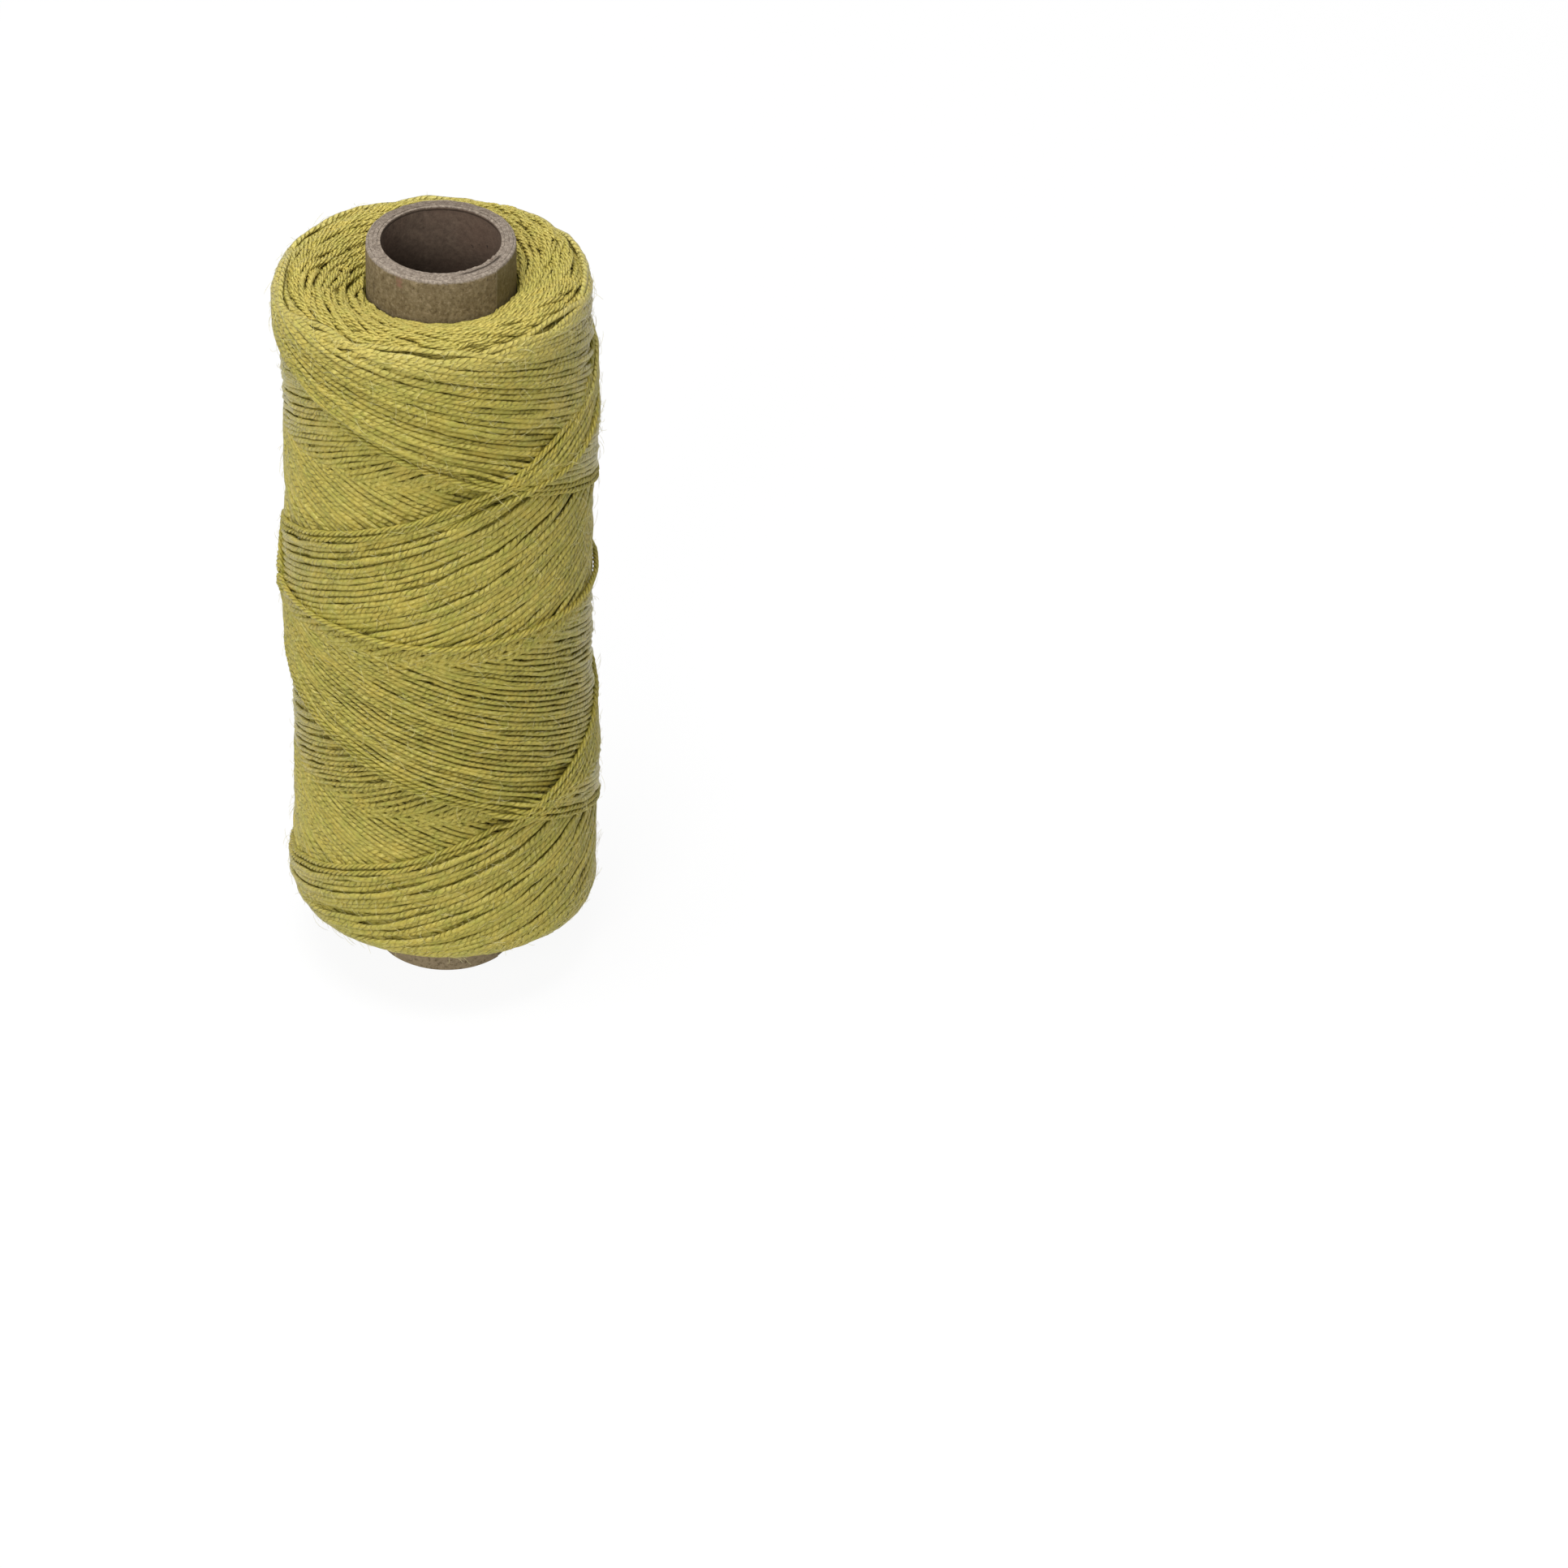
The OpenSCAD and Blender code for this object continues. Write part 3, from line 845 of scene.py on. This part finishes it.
top_yarn = Yarn()
for strand in strands[-free_strokes:]:
    turn, s, rest = thinned(4, *strand)
    sunk = 0.24 * ramp(s - 69, 9) + 0.30 * ramp(s - 73, 4)
    places, lifts = on_package(turn, s, rest - sunk)
    top_yarn.add_plies(places, lifts, offset=0.148, ply=0.188, start=travel)
slack_turns = [0.755, 0.808, 0.84, 0.885, 0.915, 0.945, 1.0, 1.12]
slack_levels = [65.4, 68.0, 68.9, 69.3, 69.9, 71.2, 74.2, 80.0]
slack_turn = np.linspace(slack_turns[0], slack_turns[-1], 900)
slack_s = smoothed(np.interp(slack_turn, slack_turns, slack_levels), 18)
turn, s, rest = thinned(4, *lay_thread(slack_turn, slack_s, slip=False))
slack_ends = ramp(np.minimum(slack_turns[-1] - turn, turn - slack_turns[0]), 0.03)
sunk = 0.6 * (1 - slack_ends) + 0.6 * ramp(s - 71.5, 4)
places, lifts = on_package(turn, s, rest + 0.10 - sunk)
top_yarn.add_plies(places, lifts, offset=0.155, ply=0.19, start=travel)
finish_piece(top_yarn.mesh("last"), "winding_last_strokes", loose_linen, "thread")


# Inner windings: all the same waxed linen that was wound before, tight round the tube's wrap. It shows
# only in the slits between the outer threads, so here it is one body with a bore.

columns, levels, core_depth = 144, 220, 0.1
core_t = np.repeat(np.linspace(0, 1, columns + 1)[:-1], levels)
core_s = np.tile(np.linspace(s_low, s_high, levels), columns)
places, _ = on_package(core_t, core_s, bare_height(core_s) - core_depth)
co = places.reshape(columns, levels, 3)
co = np.concatenate([co[:, :1], co, co[:, -1:]], 1)
for bore_end in (0, -1):
    wall = co[:, bore_end, :2]
    wall *= (tube_radius * MM / np.hypot(wall[:, 0], wall[:, 1]))[:, None]
rows = levels + 2
here = np.arange(columns) * rows
beyond = np.roll(here, -1)
i, j = (first[:, None] + np.arange(rows - 1) for first in (here, beyond))
quads = np.stack([i, j, j + 1, i + 1], 2).reshape(-1, 4)
bore = np.stack([here + rows - 1, beyond + rows - 1, beyond, here], 1)
core_mesh = bpy.data.meshes.new("inner")
core_mesh.from_pydata(co.reshape(-1, 3).tolist(), [], np.concatenate([quads, bore]).tolist())
core = bpy.data.objects.new("inner", core_mesh)
bpy.context.scene.collection.objects.link(core)
core_mesh.polygons.foreach_set("use_smooth", np.ones(len(core_mesh.polygons), bool))
packed = Finish("packed_thread", roughness=0.85, specular=0.2)
turns = packed.noise(packed.place((1, 1, 5)), 0.0011, 3)
# Painted shade: the inner windings are darker than the thread's own colour, for the shade of the slits they
# show through.
packed.colour(packed.mix(turns.between(0.35, 0.65), (0.17, 0.145, 0.024), (0.33, 0.28, 0.052)))
packed.bump(turns, 0.0004)
finish_piece(core, "inner_windings", packed, "thread", "thread_inner_windings")


# Tie-off: the last end of the waxed linen. It is brought down at the left, goes level round the middle,
# and is hitched round itself where it started, which keeps the whole package from coming undone.

knot_turn, knot_s, down_from = 188 / 360, 49.6, 7.4
tie_level, tie_turns, tie_offset, tie_ply = 50.6, 0.997, 0.155, 0.185
tie_turn = np.linspace(knot_turn, knot_turn + tie_turns, 3000)
tie_s = tie_level + 0.22 * bend_noise(tie_turn * 2 * math.pi, 31, 5, 1, 6)
turn, s, rest = thinned(3, *lay_thread(tie_turn, tie_s, slip=False, press=0.34))
places, lifts = on_package(turn, s, rest + 0.20)
tie = Yarn(7)
tie.add_plies(places, lifts, tie_offset, tie_ply)

skin = float(np.interp(knot_s, s_grid, mean_top))
down = np.linspace(0, 1, 70)
back = 1 - down
over_skin = skin + 0.10 + 0.15 * down**2 - 0.6 * back**5
places, lifts = on_package(knot_turn - 0.012 * back, knot_s + down_from * back, over_skin)
tie.add_plies(places, lifts, tie_offset, tie_ply, start=3.0)

hitch_turns, hitch_long, hitch_high = 3.7, 2.1, 0.42
coil = np.linspace(0, 1, 150)
around = 2 * math.pi * hitch_turns * coil
wide = 0.28 + 0.20 * np.sin(math.pi * coil)
turn = knot_turn + 1.4 * wide * np.sin(around) / (2 * math.pi * package_radius)
places, lifts = on_package(turn, knot_s + 0.9 - hitch_long * coil, skin + hitch_high + wide * np.cos(around))
tie.add_plies(places, lifts, offset=0.15, ply=0.20)
finish_piece(tie.mesh("tie"), "tie_off", loose_linen, "thread", "thread_tie_off")


# Start of the thread: the first end of the waxed linen. It lies along the tube under the winding, and is
# held there by the turns over it.

start_points, start_half = 40, 0.32
start_low, start_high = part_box("thread_start")
start_mid = (start_low + start_high) / 2
line = np.tile([start_mid.x, start_mid.y, 0.0], (start_points, 1))
line[:, 2] = np.linspace(start_low.z, start_high.z, start_points)
start_yarn = Yarn(8)
east_lift = np.tile([1.0, 0, 0], (start_points, 1))
start_yarn.add(line, east_lift, wide=start_half, high=start_half, taper=True)
finish_piece(start_yarn.mesh("start"), "thread_start_end", linen, "thread", "thread_start")


# Stray fibres: ends of flax that the wax hasn't laid down. They are spun into the thread at one end and
# stand off all over the winding, most of them along the way that the thread goes.

fibre_count, fibre_points, fibre_long, fibre_half = 4200, 6, 2.6, 0.016
stray_rng = np.random.default_rng(17)
stray = Yarn(3)
for _ in range(fibre_count):
    path_t, path_s, path_height = strands[int(stray_rng.integers(len(strands) // 2, len(strands)))]
    at = int(stray_rng.integers(10, len(path_t) - 10))
    length = stray_rng.uniform(0.5, 1.0) ** 2 * fibre_long
    x = np.linspace(0, 1, fibre_points)
    heading = stray_rng.uniform(0, 2 * math.pi) if stray_rng.uniform() < 0.4 else stray_rng.normal() * 0.5
    ahead_t, ahead_s = path_t[at + 5] - path_t[at - 5], path_s[at + 5] - path_s[at - 5]
    base = math.atan2(ahead_s, ahead_t * 2 * math.pi * package_radius) + heading
    bend = base + stray_rng.normal() * 0.9 * x
    rise = stray_rng.uniform(0.1, 0.75) * length * x * (1 - stray_rng.uniform(0.3, 0.9) * x)
    turn = path_t[at] + np.cumsum(np.cos(bend)) * length / fibre_points / (2 * math.pi * package_radius)
    s = path_s[at] + np.cumsum(np.sin(bend)) * length / fibre_points
    if s.min() < s_low + 0.5 or s.max() > s_high - 0.5:
        continue
    places, lifts = on_package(turn, s, path_height[at] + 0.22 + rise)
    stray.add(places, lifts, wide=fibre_half, high=fibre_half, taper=True)
flax = Finish("flax_fibre", roughness=0.5, specular=0.4)
flax.shader.inputs["Base Color"].default_value = (0.64, 0.59, 0.27, 1)
finish_piece(stray.mesh("stray"), "stray_fibres", flax, "thread")


# Studio: a plain pale floor, a white surround, and two softboxes, one above and one in front at the left.
# They are no part of the object, and the camera looks down at it from the front.

bpy.ops.object.select_all(action="DESELECT")
bpy.ops.mesh.primitive_plane_add(size=4, location=(0, 0, 0))
floor = bpy.context.object
floor.name = "floor"
white = Finish("pale_floor", roughness=0.9, specular=0.1)
white.shader.inputs["Base Color"].default_value = (0.86, 0.86, 0.86, 1)


def behind_object(nodes):
    """1 where a ray comes from the camera, or through or off something clear or glossy."""
    rays = ("Is Camera Ray", "Is Glossy Ray", "Is Transmission Ray")
    return sum(nodes.node("ShaderNodeLightPath", out=ray) for ray in rays).math("MINIMUM", 1.0)


glow_share, glow_behind = 0.30, 0.62
glow = white.node("ShaderNodeEmission", None, {"Color": (1.0, 1.0, 1.0), "Strength": 1.0})
lit = Shade(white, white.shader.outputs[0])
share = glow_share + glow_behind * behind_object(white)
shown = white.node("ShaderNodeMixShader", None, {0: share, 1: lit, 2: glow})
white.join(white.tree.nodes["Material Output"].inputs["Surface"], shown)
floor.data.materials.append(white.material)

world = bpy.data.worlds.new("studio")
bpy.context.scene.world = world
world.use_nodes = True
sky = Nodes(world.node_tree)
near = sky.node("ShaderNodeBackground", None, {"Color": (1.0, 1.0, 1.0), "Strength": 0.43})
far = sky.node("ShaderNodeBackground", None, {"Color": (1.0, 1.0, 1.0), "Strength": 1.0})
around = sky.node("ShaderNodeMixShader", None, {0: behind_object(sky), 1: near, 2: far})
sky.join(world.node_tree.nodes["World Output"].inputs["Surface"], around)


def softbox(name, place, aim, width, power):
    """A square soft light at a place, aimed at a point of the object."""
    bpy.ops.object.light_add(type="AREA", location=place)
    lamp = bpy.context.object
    lamp.name = name
    lamp.data.size = width
    lamp.data.energy = power
    lamp.rotation_euler = (Vector(aim) - Vector(place)).to_track_quat("-Z", "Y").to_euler()


softbox("softbox_top", (-0.10, -0.10, 0.80), (0, 0, 0.05), 0.40, 5.6)
softbox("softbox_front", (-0.28, -0.77, 0.52), (0, 0, 0.045), 0.35, 4.3)

scene = bpy.context.scene
scene.view_settings.view_transform = "Standard"

yaw, pitch, roll = (math.radians(x) for x in (4.222, 36.039, 2.039))
away, raised, aim_height = 0.62298, math.radians(34.228), 0.04539
eye = Vector((0, -away * math.cos(raised), away * math.sin(raised) + aim_height))
ahead = Vector((math.sin(yaw) * math.cos(pitch), math.cos(yaw) * math.cos(pitch), -math.sin(pitch)))
right = ahead.cross(Vector((0, 0, 1))).normalized()
above = right.cross(ahead)
level = right * math.cos(roll) + above * math.sin(roll)
upward = above * math.cos(roll) - right * math.sin(roll)
bpy.ops.object.camera_add()
camera = bpy.context.object
camera.matrix_world = Matrix((
    (level.x, upward.x, -ahead.x, eye.x),
    (level.y, upward.y, -ahead.y, eye.y),
    (level.z, upward.z, -ahead.z, eye.z),
    (0, 0, 0, 1),
))
focal_pixels, image_pixels, sensor = 7000, 1932, 36
camera.data.sensor_fit = "HORIZONTAL"
camera.data.sensor_width = sensor
camera.data.lens = focal_pixels / image_pixels * sensor
camera.data.clip_start = 0.01
scene.camera = camera
